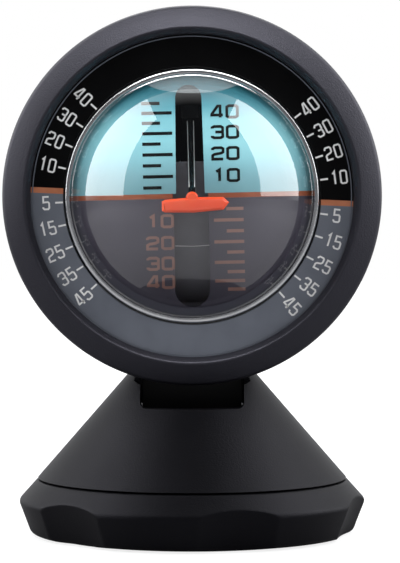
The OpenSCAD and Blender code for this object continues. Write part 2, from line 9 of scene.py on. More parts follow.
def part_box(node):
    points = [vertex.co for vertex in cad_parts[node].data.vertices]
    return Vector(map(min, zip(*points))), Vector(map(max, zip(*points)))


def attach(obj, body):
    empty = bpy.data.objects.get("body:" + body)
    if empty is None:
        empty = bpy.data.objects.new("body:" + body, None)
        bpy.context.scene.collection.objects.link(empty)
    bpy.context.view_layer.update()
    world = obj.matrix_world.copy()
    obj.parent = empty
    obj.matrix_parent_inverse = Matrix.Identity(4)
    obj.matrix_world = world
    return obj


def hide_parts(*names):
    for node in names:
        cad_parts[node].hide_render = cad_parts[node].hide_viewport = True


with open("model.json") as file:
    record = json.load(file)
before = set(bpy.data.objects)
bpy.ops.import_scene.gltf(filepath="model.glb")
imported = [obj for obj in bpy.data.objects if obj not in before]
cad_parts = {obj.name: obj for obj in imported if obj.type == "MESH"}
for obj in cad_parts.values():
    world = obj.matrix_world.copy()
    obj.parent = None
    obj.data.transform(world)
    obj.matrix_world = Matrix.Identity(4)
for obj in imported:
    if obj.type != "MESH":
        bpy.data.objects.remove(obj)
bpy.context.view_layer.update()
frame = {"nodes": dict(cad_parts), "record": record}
print("frame loaded:", len(frame["nodes"]), "nodes")

mm = 0.001
weldDistance = 0.002 * mm
cutTolerance = 1e-7  # metres


def nodeBox(node):
    low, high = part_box(node)
    return Vector(low) / mm, Vector(high) / mm


# The ball's centre lies level with the bezel's, one dome radius behind the dome's front
domeRadius = 26.9
ballRadius = 24
bezelLow, bezelHigh = nodeBox("bezel_ring")
domeFront = nodeBox("dome")[0].y
headZ = (bezelLow.z + bezelHigh.z) / 2
ballCentre = Vector((0, domeFront + domeRadius, headZ))
ballLean = 1.3  # degrees that the roll frame hangs out of level

# Head pieces are drawn facing up, local Z forward and local Y up, then turned to face -Y
headPlace = Matrix.Translation(ballCentre * mm) @ Matrix.Rotation(pi / 2, 4, "X")
ballPlace = headPlace @ Matrix.Rotation(radians(ballLean), 4, "Z")
upright = Matrix.Rotation(-pi / 2, 4, "X")  # stands a shape spun about Z on the local Y axis


# Colours and materials


def linear(hexCode, alpha=1.0):
    channels = [int(hexCode[i:i + 2], 16) / 255 for i in (0, 2, 4)]
    return [c / 12.92 if c <= 0.04045 else ((c + 0.055) / 1.055) ** 2.4 for c in channels] + [alpha]


def addNode(tree, kind, values=None, links=None, **settings):
    node = tree.nodes.new(kind)
    for name, value in settings.items():
        setattr(node, name, value)
    for name, value in (values or {}).items():
        node.inputs[name].default_value = value
    for name, output in (links or {}).items():
        tree.links.new(output, node.inputs[name])
    return node


def newTree(name):
    material = bpy.data.materials.new(name)
    material.use_nodes = True
    material.node_tree.nodes.clear()
    return material, material.node_tree


def heightFade(tree, place, colour, fade):
    # Tints a colour by its height above the ball's centre: painted shade and highlight
    height = addNode(tree, "ShaderNodeSeparateXYZ", links={0: place}).outputs["Z"]
    along = addNode(tree, "ShaderNodeMapRange",
                    {"From Min": headZ * mm, "From Max": (headZ + ballRadius) * mm}, {"Value": height})
    tint = addNode(tree, "ShaderNodeValToRGB", links={"Fac": along.outputs["Result"]})
    stops = tint.color_ramp.elements
    while len(stops) < len(fade):
        stops.new(1)
    for stop, (aboveMm, shade) in zip(stops, fade):
        stop.position, stop.color = aboveMm / ballRadius, linear(shade)
    both = addNode(tree, "ShaderNodeMixRGB", {"Fac": 1.0},
                   {"Color1": colour, "Color2": tint.outputs["Color"]}, blend_type="MULTIPLY")
    return both.outputs["Color"]


def solidMaterial(name, shades, patchMm, grainMm, relief, rough, roughSpread=0.06, fade=None, **surface):
    # Slow noise mixes two close shades and moves the roughness a little; fine noise gives the grain
    material, tree = newTree(name)
    place = addNode(tree, "ShaderNodeTexCoord").outputs["Object"]
    patches = addNode(tree, "ShaderNodeTexNoise", {"Scale": 1 / (patchMm * mm), "Detail": 3.0},
                      {"Vector": place})
    grain = addNode(tree, "ShaderNodeTexNoise", {"Scale": 1 / (grainMm * mm), "Detail": 2.0},
                    {"Vector": place})
    mix = addNode(tree, "ShaderNodeValToRGB", links={"Fac": patches.outputs["Fac"]})
    for stop, position, shade in zip(mix.color_ramp.elements, (0.35, 0.65), shades):
        stop.position, stop.color = position, linear(shade)
    # An optional tint by height paints shade and highlight into the colour
    colour = heightFade(tree, place, mix.outputs["Color"], fade) if fade else mix.outputs["Color"]
    roughness = addNode(tree, "ShaderNodeMapRange",
                        {"To Min": rough - roughSpread, "To Max": rough + roughSpread},
                        {"Value": patches.outputs["Fac"]})
    bump = addNode(tree, "ShaderNodeBump", {"Strength": relief, "Distance": grainMm * mm * 0.5},
                   {"Height": grain.outputs["Fac"]})
    shader = addNode(tree, "ShaderNodeBsdfPrincipled", surface,
                     {"Base Color": colour, "Roughness": roughness.outputs["Result"],
                      "Normal": bump.outputs["Normal"]})
    addNode(tree, "ShaderNodeOutputMaterial", links={"Surface": shader.outputs["BSDF"]})
    return material


# One entry for each finish: its shades, the size of its patches and grain, and its gloss
finishes = {
    # ABS from a spark-eroded mould: near-black, with a fine grain that spreads highlights into a grey sheen
    "texturedAbs": dict(shades=("0A0A0F", "0E0E13"), patchMm=14, grainMm=0.32, relief=0.35, rough=0.46,
                        IOR=1.54, **{"Specular IOR Level": 0.5, "Specular Tint": linear("EDECFF")}),
    # The same ABS on the bowl behind, a little duller
    "bowlAbs": dict(shades=("09090D", "0D0D11"), patchMm=14, grainMm=0.32, relief=0.32, rough=0.47, IOR=1.54,
                    **{"Specular IOR Level": 0.26, "Specular Tint": linear("F3F2FF")}),
    # The same ABS on the cone and foot, from a mould with a flatter texture: deeper black
    "baseAbs": dict(shades=("060608", "08080A"), patchMm=14, grainMm=0.32, relief=0.3, rough=0.48, IOR=1.54,
                    **{"Specular IOR Level": 0.14, "Specular Tint": linear("EDECFF")}),
    # ABS from a polished tool: darker and smoother than the outer skin
    "blackAbs": dict(shades=("08080A", "0C0C0E"), patchMm=9, grainMm=0.6, relief=0.08, rough=0.45, IOR=1.54,
                     **{"Specular IOR Level": 0.2}),
    # Closed-cell foam tape: dull grey with open pores
    "foamTape": dict(shades=("33333A", "45454C"), patchMm=2, grainMm=0.7, relief=0.8, rough=0.95, IOR=1.45),
    # Zinc-plated steel: soft grey metal with a faint bloom
    "zincPlate": dict(shades=("B9BBBE", "D2D4D6"), patchMm=1.5, grainMm=0.15, relief=0.1, rough=0.3,
                      Metallic=1.0),
    # Spring steel: darker rolled metal
    "springSteel": dict(shades=("8F9094", "A9AAAE"), patchMm=2, grainMm=0.2, relief=0.1, rough=0.35,
                        Metallic=1.0),
    # Bright chrome lacquer on the ring round the dome: a thin line that mirrors the studio
    "chromeRing": dict(shades=("ECEDF0", "FAFBFC"), patchMm=6, grainMm=0.5, relief=0.02, rough=0.22,
                       roughSpread=0.04, Metallic=1.0),
    # Nitrile rubber: soft black with no shine
    "sealRubber": dict(shades=("161617", "1D1D1E"), patchMm=3, grainMm=0.3, relief=0.3, rough=0.8, IOR=1.5),
    # Turned brass: warm metal, slightly dulled
    "turnedBrass": dict(shades=("B58A3E", "D0A652"), patchMm=2, grainMm=0.12, relief=0.12, rough=0.28,
                        Metallic=1.0),
    # Satin screen ink on the dial: flat black and slate grey, smoother than the case
    "dialBlack": dict(shades=("020203", "040405"), patchMm=7, grainMm=0.25, relief=0.05, rough=0.35, IOR=1.5,
                      **{"Specular IOR Level": 0.15}),
    "dialGrey": dict(shades=("5F646F", "676C77"), patchMm=7, grainMm=0.25, relief=0.05, rough=0.5, IOR=1.5),
    "dialRust": dict(shades=("AD6540", "BC7350"), patchMm=4, grainMm=0.25, relief=0.05, rough=0.5, IOR=1.5),
    "dialWhite": dict(shades=("DADADA", "EBEBEB"), patchMm=4, grainMm=0.25, relief=0.03, rough=0.5, IOR=1.5),
    # Moulded polystyrene of the ball: smooth colour under the liquid; on the sky half painted shade darkens
    # the top and the horizon, and a painted highlight lightens the middle
    "skyShell": dict(shades=("8AD6E2", "94DEE8"), patchMm=12, grainMm=0.6, relief=0.02, rough=0.35, IOR=1.5,
                     fade=((1, "CCC0C2"), (3.5, "DACCCF"), (7, "EEE8EA"), (10, "FFF8F8"), (14, "E8EAEC"),
                           (16.5, "ACC4CC"), (19, "84ACB6"))),
    "groundShell": dict(shades=("403D49", "46434F"), patchMm=12, grainMm=0.6, relief=0.02, rough=0.4,
                        IOR=1.5),
    "bandRust": dict(shades=("8C4526", "9A5232"), patchMm=5, grainMm=0.4, relief=0.02, rough=0.45, IOR=1.5),
    # Painted shade: the inside faces of the ball are black, for the dark inside seen through the slot
    "paintedInsideShade": dict(shades=("0B0B0C", "121213"), patchMm=6, grainMm=0.5, relief=0.05, rough=0.5, IOR=1.5),
    # Printed marks on the ball
    "inkBlack": dict(shades=("060A0B", "0A0F10"), patchMm=3, grainMm=0.3, relief=0.02, rough=0.4, IOR=1.5,
                     **{"Specular IOR Level": 0.1}),
    "inkRust": dict(shades=("86635A", "8E6A60"), patchMm=3, grainMm=0.3, relief=0.02, rough=0.45, IOR=1.5),
    # Orange enamel on the pointer: strong colour with a soft gloss
    "pointerEnamel": dict(shades=("FF4E1C", "FF5A28"), patchMm=3, grainMm=0.4, relief=0.03, rough=0.3,
                          IOR=1.5, **{"Coat Weight": 0.6, "Coat Roughness": 0.12}),
    # Dyed polystyrene behind the slot: matt slate grey
    "shadeGrey": dict(shades=("706F77", "78777F"), patchMm=5, grainMm=0.4, relief=0.04, rough=0.55, IOR=1.5),
    # Lacquered wire: glossy black with sharp highlights
    "glossBlack": dict(shades=("08080A", "0E0E10"), patchMm=3, grainMm=0.4, relief=0.02, rough=0.15, IOR=1.5),
    # Dyed polyamide of the filling plug: dark grey, slightly waxy
    "polyamide": dict(shades=("3C3C40", "48484D"), patchMm=3, grainMm=0.3, relief=0.08, rough=0.4, IOR=1.53),
}
paints = {name: solidMaterial(name, **look) for name, look in finishes.items()}


def clearMaterial(name, bending=None):
    # Lets light and shadow straight through; with a bending it refracts what the eye sees, under a hard gloss
    material, tree = newTree(name)
    clear = addNode(tree, "ShaderNodeBsdfTransparent")
    surface = clear
    if bending:
        rays = addNode(tree, "ShaderNodeLightPath")
        unseen = addNode(tree, "ShaderNodeMath",
                         links={0: rays.outputs["Is Shadow Ray"], 1: rays.outputs["Is Diffuse Ray"]},
                         operation="MAXIMUM")
        glass = addNode(tree, "ShaderNodeBsdfPrincipled", {
            "Base Color": linear("FDFEFE"), "Roughness": 0.0, "IOR": bending, "Transmission Weight": 1.0,
            "Coat Weight": 1.0, "Coat Roughness": 0.0, "Coat IOR": 1.6})
        surface = addNode(tree, "ShaderNodeMixShader", links={
            "Fac": unseen.outputs[0], 1: glass.outputs[0], 2: clear.outputs[0]})
    addNode(tree, "ShaderNodeOutputMaterial", links={"Surface": surface.outputs[0]})
    return material


def filmMaterial(name, shade, cover):
    # A pale film that shows what is behind it
    material, tree = newTree(name)
    film = addNode(tree, "ShaderNodeBsdfPrincipled", {"Base Color": linear(shade), "Roughness": 0.25,
                                                      "Alpha": cover, "IOR": 1.33})
    addNode(tree, "ShaderNodeOutputMaterial", links={"Surface": film.outputs[0]})
    return material


# A pale film at the top of the dome: painted reflection of the overhead light
paints["paintedReflectionFilm"] = filmMaterial("paintedReflectionFilm", "D4DEE2", 0.2)
# Cast acrylic dome full of oil: the skin and the oil bend light as one body, so only the outside refracts
paints["acrylicSkin"] = clearMaterial("acrylicSkin", 1.43)
paints["acrylicInside"] = clearMaterial("acrylicInside")
print("materials made:", len(paints))


# Mesh tools


def outlineOf(corners):
    # A closed wire of (radius, height, corner cut), with its corners rounded
    bm = bmesh.new()
    points = [bm.verts.new((radius * mm, 0, height * mm)) for radius, height, cut in corners]
    bm.faces.new(points)
    for point, (radius, height, cut) in zip(points, corners):
        if cut:
            bmesh.ops.bevel(bm, geom=[point], offset=cut * mm, offset_type="OFFSET", segments=5, profile=0.5,
                            affect="VERTICES", material=-1)
    bmesh.ops.delete(bm, geom=bm.faces[:], context="FACES_ONLY")
    return bm


def wireOf(outline):
    # A closed wire of (radius, height), left open along the axis
    bm = bmesh.new()
    points = [bm.verts.new((radius * mm, 0, height * mm)) for radius, height in outline]
    for start, end in zip(points, points[1:] + points[:1]):
        if max(start.co.x, end.co.x) > weldDistance:
            bm.edges.new((start, end))
    return bm


def arcPoints(radius, fromHeight, steps):
    # Points of a circle about the origin from the given height up to the pole
    start = asin(fromHeight / radius)
    return [(radius * cos(start + (pi / 2 - start) * i / steps),
             radius * sin(start + (pi / 2 - start) * i / steps)) for i in range(steps + 1)]


def turned(corners, steps=256):
    return spun(outlineOf(corners), steps)


def spun(bm, steps):
    # Spins a wire about Z into a closed skin
    bmesh.ops.spin(bm, geom=bm.verts[:] + bm.edges[:], cent=(0, 0, 0), axis=(0, 0, 1), angle=2 * pi,
                   steps=steps, use_merge=True)
    bmesh.ops.remove_doubles(bm, verts=bm.verts[:], dist=weldDistance)
    bmesh.ops.recalc_face_normals(bm, faces=bm.faces[:])
    return bm


def piece(bm, name, finishNames, body, place=Matrix(), standsFor=(), sharpAngle=35):
    # Makes a mesh object with its place in its mesh, riding on a body
    bm.transform(place)
    if place.determinant() < 0:
        bmesh.ops.reverse_faces(bm, faces=bm.faces[:])
    mesh = bpy.data.meshes.new(name)
    bm.to_mesh(mesh)
    bm.free()
    for finish in finishNames:
        mesh.materials.append(paints[finish])
    mesh.shade_smooth()
    mesh.set_sharp_from_angle(angle=radians(sharpAngle))
    made = bpy.data.objects.new(name, mesh)
    bpy.context.scene.collection.objects.link(made)
    if body:
        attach(made, body)
    if standsFor:
        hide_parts(*standsFor)
    return made


def carved(bm, cutters):
    # Takes the cutters out of a mesh
    target = bpy.data.objects.new("carving", bpy.data.meshes.new("carving"))
    bm.to_mesh(target.data)
    bpy.context.scene.collection.objects.link(target)
    tools = []
    for cutter in cutters:
        tool = bpy.data.objects.new("cutter", bpy.data.meshes.new("cutter"))
        cutter.to_mesh(tool.data)
        cutter.free()
        bpy.context.scene.collection.objects.link(tool)
        cut = target.modifiers.new("cut", "BOOLEAN")
        cut.object, cut.operation, cut.solver = tool, "DIFFERENCE", "EXACT"
        tools.append(tool)
    bpy.context.view_layer.update()
    result = target.evaluated_get(bpy.context.evaluated_depsgraph_get())
    bm.clear()
    bm.from_mesh(result.to_mesh())
    for unused in [target, *tools]:
        bpy.data.objects.remove(unused)
    return bm


def slab(outline, low, high):
    # A flat outline (x, y) given thickness from low to high
    bm = bmesh.new()
    base = bm.faces.new([bm.verts.new((x * mm, y * mm, low * mm)) for x, y in outline])
    grown = bmesh.ops.extrude_face_region(bm, geom=[base])
    bmesh.ops.translate(bm, verts=[v for v in grown["geom"] if isinstance(v, bmesh.types.BMVert)],
                        vec=(0, 0, (high - low) * mm))
    bmesh.ops.recalc_face_normals(bm, faces=bm.faces[:])
    return bm


def paintFaces(bm, index, test):
    for face in bm.faces:
        if test(face.calc_center_median() / mm, face.normal):
            face.material_index = index


# Foot

foot = dict(edgeRadius=35, bottomRadius=32.5, topRadius=31.3, hollowRadius=29.6, recessRadius=28.2,
            boreRadius=6.05, bottomZ=0.4, edgeZ=7, topZ=11.1, floorZ=8.9, floorLowZ=6.7, flankFrom=30.1,
            flankRows=14, scoops=6, firstScoop=15, scoopDepth=1.7, scoopRadius=40)


def scoopFoot(bm):
    # Pulls the flank in to six shallow upright hollows, each the side of a wide leaning cylinder
    lean = atan2(foot["edgeRadius"] - foot["bottomRadius"], foot["edgeZ"] - foot["bottomZ"])
    deepest = foot["edgeRadius"] - foot["scoopDepth"]
    for point in bm.verts:
        x, y, z = point.co / mm
        radius = sqrt(x * x + y * y)
        if radius < foot["flankFrom"]:
            continue
        turn = degrees(atan2(x, -y)) - foot["firstScoop"]
        away = radians((turn + 180 / foot["scoops"]) % (360 / foot["scoops"]) - 180 / foot["scoops"])
        # The cylinder's axis at this height, and the flank's limit along this vertex's own radius
        centre = deepest + foot["scoopRadius"] / cos(lean) + (z - foot["edgeZ"]) * sin(lean) / cos(lean)
        inside = (foot["scoopRadius"] / cos(lean)) ** 2 - (centre * sin(away)) ** 2
        limit = centre * cos(away) - sqrt(inside) if inside > 0 else radius
        if limit < radius:
            point.co.xy *= limit / radius


def footProfile():
    bm = outlineOf([
        (foot["hollowRadius"], foot["bottomZ"], 0.25), (foot["bottomRadius"], foot["bottomZ"], 0.9),
        (foot["edgeRadius"], foot["edgeZ"], 0.7), (foot["topRadius"], foot["topZ"], 0.35),
        (foot["recessRadius"], foot["topZ"], 0.2), (foot["recessRadius"], foot["floorZ"], 0),
        (foot["boreRadius"], foot["floorZ"], 0), (foot["boreRadius"], foot["floorLowZ"], 0),
        (foot["hollowRadius"], foot["floorLowZ"], 0)])
    flank = [e for e in bm.edges if e.calc_length() > 2 * mm
             and min(v.co.x for v in e.verts) > foot["flankFrom"] * mm]
    bmesh.ops.subdivide_edges(bm, edges=flank, cuts=foot["flankRows"])
    return bm


footMesh = spun(footProfile(), 480)
scoopFoot(footMesh)
piece(footMesh, "foot_shell", ["baseAbs"], "foot", standsFor=["base_ring"], sharpAngle=50)
print("foot done")


# Bezel, dial and the ring round the dome

bezel = dict(edgeRadius=37.5, lipRadius=32.9, openRadius=31.8, seatRadius=32.4, skirtRadius=35.6,
             backInset=0.4, backF=5.8, edgeF=12, lipF=14.3, lipDrop=1.3, dialF=11.7, seatF=9.7)
dial = dict(outerRadius=32.2, innerRadius=25.42, backF=10.6, faceF=11.6, turn=2.5, bandHeight=1.1,
            printDrop=0.17, edgeLineRadius=31.42, edgeLineWidth=0.22, edgeLineLift=0.05)
domeRing = dict(outerRadius=25.02, innerRadius=24.05, baseRadius=24.6, topF=12.2, lowF=10.55)


def bezelMesh():
    return turned([
        (bezel["skirtRadius"], bezel["backF"], 0.2),
        (bezel["edgeRadius"] - bezel["backInset"], bezel["backF"], 0.5),
        (bezel["edgeRadius"], bezel["edgeF"], 0.8), (bezel["lipRadius"], bezel["lipF"], 0.45),
        (bezel["openRadius"], bezel["lipF"] - bezel["lipDrop"], 0.15),
        (bezel["openRadius"], bezel["dialF"], 0), (bezel["seatRadius"], bezel["dialF"], 0),
        (bezel["seatRadius"], bezel["seatF"], 0), (bezel["skirtRadius"], bezel["seatF"], 0)], steps=320)


def dialMesh():
    bm = turned([(dial["innerRadius"], dial["backF"], 0), (dial["outerRadius"], dial["backF"], 0),
                 (dial["outerRadius"], dial["faceF"], 0), (dial["innerRadius"], dial["faceF"], 0.12)],
                steps=320)
    low, high = -dial["printDrop"] - dial["bandHeight"] / 2, -dial["printDrop"] + dial["bandHeight"] / 2
    for height in (low, high):
        bmesh.ops.bisect_plane(bm, geom=bm.verts[:] + bm.edges[:] + bm.faces[:], dist=cutTolerance,
                               plane_co=(0, height * mm, 0), plane_no=(0, 1, 0))
    paintFaces(bm, 1, lambda middle, normal: middle.y < low)
    paintFaces(bm, 2, lambda middle, normal: low < middle.y < high)
    return bm


def dialEdgeLine():
    # A thin raised bead in the dial's grey round its edge; on the black half its grey is a painted highlight
    inner, outer = (dial["edgeLineRadius"] + side * dial["edgeLineWidth"] / 2 for side in (-1, 1))
    low, high = (dial["faceF"] + side * dial["edgeLineLift"] for side in (-1, 1))
    return turned([(inner, low, 0), (outer, low, 0), (outer, high, 0.03), (inner, high, 0.03)], steps=320)


dialPlace = headPlace @ Matrix.Rotation(radians(-dial["turn"]), 4, "Z")
piece(bezelMesh(), "bezel_shell", ["texturedAbs"], "head", headPlace, ["bezel_ring"])
piece(dialMesh(), "dial_face", ["dialBlack", "dialGrey", "dialRust"], "head", dialPlace, ["dial_ring"])
piece(dialEdgeLine(), "dial_edge_highlight", ["dialGrey"], "head", dialPlace)
piece(turned([(domeRing["baseRadius"], domeRing["lowF"], 0), (domeRing["outerRadius"], domeRing["lowF"], 0),
              (domeRing["outerRadius"], domeRing["topF"], 0.4),
              (domeRing["innerRadius"], domeRing["topF"], 0.12)]),
      "dome_ring_bright", ["chromeRing"], "head", headPlace, ["dome_retainer"])
print("bezel and dial done")


# Strokes of printed marks

digitShapes = {  # strokes on a grid 1 wide and 1 high, squared with cut corners
    "0": [[(0.18, 0), (0.82, 0), (1, 0.1), (1, 0.9), (0.82, 1), (0.18, 1), (0, 0.9), (0, 0.1), (0.18, 0)]],
    "1": [[(0.3, 0.82), (0.62, 1), (0.62, 0)]],
    "2": [[(0, 0.8), (0, 0.9), (0.18, 1), (0.82, 1), (1, 0.9), (1, 0.62), (0.82, 0.52), (0.18, 0.42),
           (0, 0.32), (0, 0), (1, 0)]],
    "3": [[(0, 0.82), (0, 0.9), (0.18, 1), (0.82, 1), (1, 0.9), (1, 0.6), (0.88, 0.51), (1, 0.42), (1, 0.1),
           (0.82, 0), (0.18, 0), (0, 0.1), (0, 0.18)], [(0.3, 0.51), (0.88, 0.51)]],
    "4": [[(0.8, 0), (0.8, 1), (0.55, 1), (0, 0.3), (0, 0.22), (1.05, 0.22)]],
    "5": [[(0.96, 1), (0.04, 1), (0.04, 0.55), (0.8, 0.58), (1, 0.48), (1, 0.1), (0.82, 0), (0.18, 0),
           (0, 0.1), (0, 0.18)]],
}


def strokeMesh(strokes, width, thickness):
    # Ribbons of one width along flat paths: a low wall on each path, given its width by Solidify
    bm = bmesh.new()
    for stroke in strokes:
        closed = (Vector(stroke[0]) - Vector(stroke[-1])).length < 1e-6
        line = [bm.verts.new((x * mm, y * mm, 0)) for x, y in (stroke[:-1] if closed else stroke)]
        for start, end in zip(line, line[1:] + (line[:1] if closed else [])):
            if start is not end:
                bm.edges.new((start, end))
    grown = bmesh.ops.extrude_edge_only(bm, edges=bm.edges[:])
    bmesh.ops.translate(bm, verts=[v for v in grown["geom"] if isinstance(v, bmesh.types.BMVert)],
                        vec=(0, 0, thickness * mm))
    bmesh.ops.recalc_face_normals(bm, faces=bm.faces[:])
    wall = bpy.data.objects.new("strokes", bpy.data.meshes.new("strokes"))
    bm.to_mesh(wall.data)
    bpy.context.scene.collection.objects.link(wall)
    widen = wall.modifiers.new("widen", "SOLIDIFY")
    widen.thickness, widen.offset, widen.use_even_offset = width * mm, 0, True
    bpy.context.view_layer.update()
    bm.clear()
    bm.from_mesh(wall.evaluated_get(bpy.context.evaluated_depsgraph_get()).to_mesh())
    bpy.data.objects.remove(wall)
    return bm


def written(text, digitWidth, digitHeight, gap, corner, direction):
    # Strokes of a number whose baseline starts at corner and runs along direction (degrees)
    along = Vector((cos(radians(direction)), sin(radians(direction))))
    up = Vector((-along.y, along.x))
    strokes = []
    for index, digit in enumerate(text):
        left = index * (digitWidth + gap)
        strokes += [[Vector(corner) + along * (left + x * digitWidth) + up * (y * digitHeight)
                     for x, y in stroke] for stroke in digitShapes[digit]]
    return strokes


dialMarks = dict(tickInner=25.47, tickOuter=27.0, tickWidth=0.36, digitWidth=1.18, digitHeight=2.45, gap=0.7,
                 stroke=0.35, numberInner=27.65, singleInner=28.2, lift=0.03, sink=0.01,
                 above=(10, 20, 30, 40), below=(5, 15, 25, 35, 45))


def dialPrint():
    ticks, numbers = [], []
    for side in (-1, 1):
        for value in (*dialMarks["above"], *[-v for v in dialMarks["below"]]):
            outward = Vector((side * cos(radians(value)), sin(radians(value))))
            ticks.append([outward * dialMarks["tickInner"], outward * dialMarks["tickOuter"]])
            text = str(abs(value))
            length = len(text) * dialMarks["digitWidth"] + (len(text) - 1) * dialMarks["gap"]
            start = dialMarks["numberInner"] if len(text) > 1 else dialMarks["singleInner"]
            reading = outward * side  # numbers read from left to right on both sides
            nearest = outward * (start if side > 0 else start + length)
            below = Vector((-reading.y, reading.x)) * dialMarks["digitHeight"] / 2
            numbers += written(text, dialMarks["digitWidth"], dialMarks["digitHeight"], dialMarks["gap"],
                               nearest - below, degrees(atan2(reading.y, reading.x)))
    lift = Matrix.Translation((0, -dial["printDrop"] * mm, (dial["faceF"] - dialMarks["sink"]) * mm))
    piece(strokeMesh(ticks, dialMarks["tickWidth"], dialMarks["lift"]), "dial_ticks", ["dialWhite"], "head",
          dialPlace @ lift)
    piece(strokeMesh(numbers, dialMarks["stroke"], dialMarks["lift"]), "dial_numbers", ["dialWhite"], "head",
          dialPlace @ lift)


dialPrint()
print("dial print done")


# Dome

domeShape = dict(innerRadius=25.9, flangeRadius=29.6, flangeF=10.5, backF=9.4, arcSteps=64)


def domeMesh():
    outer = arcPoints(domeRadius, domeShape["flangeF"], domeShape["arcSteps"])
    inner = arcPoints(domeShape["innerRadius"], domeShape["backF"], domeShape["arcSteps"])
    bm = spun(wireOf([(domeShape["flangeRadius"], domeShape["backF"]),
                      (domeShape["flangeRadius"], domeShape["flangeF"]), *outer, *reversed(inner)]), 256)
    midway = (domeRadius + domeShape["innerRadius"]) / 2
    paintFaces(bm, 1, lambda middle, normal: middle.length < midway or normal.z < -0.99)
    return bm


piece(domeMesh(), "dome_clear", ["acrylicSkin", "acrylicInside"], "head", headPlace, ["dome"])


reflectionCap = dict(radius=25.8, halfAngle=22, lean=18.4, depth=0.05, arcSteps=24, spinSteps=96)


def bubbleMesh():
    # A flat pale cap pressed against the inside of the dome, near its top: painted reflection of the overhead
    # light
    angles = [radians(reflectionCap["halfAngle"]) * step / reflectionCap["arcSteps"]
              for step in range(reflectionCap["arcSteps"] + 1)]
    arc = [(reflectionCap["radius"] * sin(angle), reflectionCap["radius"] * cos(angle)) for angle in angles]
    bm = bmesh.new()
    points = [bm.verts.new((radius * mm, 0, height * mm)) for radius, height in
              [*arc, (arc[-1][0], arc[-1][1] - reflectionCap["depth"]), (0, reflectionCap["radius"] - reflectionCap["depth"])]]
    for start, end in zip(points, points[1:]):
        bm.edges.new((start, end))
    spun(bm, reflectionCap["spinSteps"])
    bm.transform(Matrix.Rotation(radians(reflectionCap["lean"] - 90), 4, "X"))
    return bm


piece(bubbleMesh(), "top_reflection_film", ["paintedReflectionFilm"], "head", headPlace)
print("dome done")


# Ball

ball = dict(innerRadius=22.8, bandHeight=0.9, bandGap=0.02, skySlot=5.4, skySlotEnd=4.9, groundSlot=6.6,
            slotShift=-0.3, slotEnd=59, slotOverlap=1, rearSlot=9.2, rearSlotEnd=63, cutReach=30,
            arcSteps=72, spinSteps=256)


def slotCutter(side, middleWidth, endWidth):
    # A tapering slot with a round end, cut through the front of one half
    steps = 16
    endY = ballRadius * sin(radians(ball["slotEnd"])) - endWidth / 2
    roundEnd = [(endWidth / 2 * cos(pi * i / steps), endY + endWidth / 2 * sin(pi * i / steps))
                for i in range(steps + 1)]
    outline = [(-middleWidth / 2, -ball["slotOverlap"]), (middleWidth / 2, -ball["slotOverlap"]), *roundEnd]
    return slab([(x + ball["slotShift"], y * side) for x, y in outline], 0, ball["cutReach"])


def rearCutter():
    endY = ballRadius * sin(radians(ball["rearSlotEnd"]))
    half = ball["rearSlot"] / 2
    return slab([(-half, -endY), (half, -endY), (half, endY), (-half, endY)], -ball["cutReach"], 0)


def halfBall(side, middleWidth, endWidth):
    # A shell over the band, cut by its front slot and by the rear opening
    low = ball["bandHeight"] / 2 + ball["bandGap"]
    outer = arcPoints(ballRadius, low, ball["arcSteps"])
    inner = arcPoints(ball["innerRadius"], low, ball["arcSteps"])
    bm = spun(wireOf([*outer, *reversed(inner)]), ball["spinSteps"])
    bm.transform(upright)
    if side < 0:
        bm.transform(Matrix.Rotation(pi, 4, "Z"))
    carved(bm, [slotCutter(side, middleWidth, endWidth), rearCutter()])
    # The inside faces take the painted shade
    paintFaces(bm, 1, lambda middle, normal: normal.dot(middle.normalized()) < -0.5)
    return bm


piece(halfBall(1, ball["skySlot"], ball["skySlotEnd"]), "sky_half", ["skyShell", "paintedInsideShade"], "ball",
      ballPlace, ["sky_shell"])
piece(halfBall(-1, ball["groundSlot"], ball["groundSlot"]), "ground_half", ["groundShell", "paintedInsideShade"],
      "ball", ballPlace, ["ground_shell"])
print("ball done")


# Marks on the ball, placed by their height and width as seen from the front

ballMarks = dict(zero=-0.42, spread=0.043, evenAt=0.35, lastValue=40, viewLift=0.1, lift=0.05, sink=0.02,
                 longestFlat=1.2, cuts=4, longTick=(-9.05, -3.45), shortTick=(-9.05, -5.65),
                 rightLong=(3.95, 9.5), rightShort=(6.3, 9.5), tickHeight=0.6,
                 digitWidth=1.95, digitHeight=2.1, gap=0.85, stroke=0.52,
                 skyNumbersX=4.0, groundNumbersX=-8.5)


def onSphere(bm, radius):
    # Lays flat marks on the front of a sphere
    long = [e for e in bm.edges if e.calc_length() > ballMarks["longestFlat"] * mm]
    bmesh.ops.subdivide_edges(bm, edges=long, cuts=ballMarks["cuts"])
    for point in bm.verts:
        depth = sqrt((radius * mm) ** 2 - point.co.x ** 2 - point.co.y ** 2)
        point.co.z += depth - ballMarks["sink"] * mm
    return bm


def markHeight(value):
    # The scale of the upper half opens a little towards its end
    share = (value / ballMarks["lastValue"]) ** 2 - ballMarks["evenAt"]
    opening = 1 + ballMarks["spread"] * share if value > 0 else 1
    return (ballRadius + ballMarks["viewLift"]) * sin(radians(value)) * opening + ballMarks["zero"]


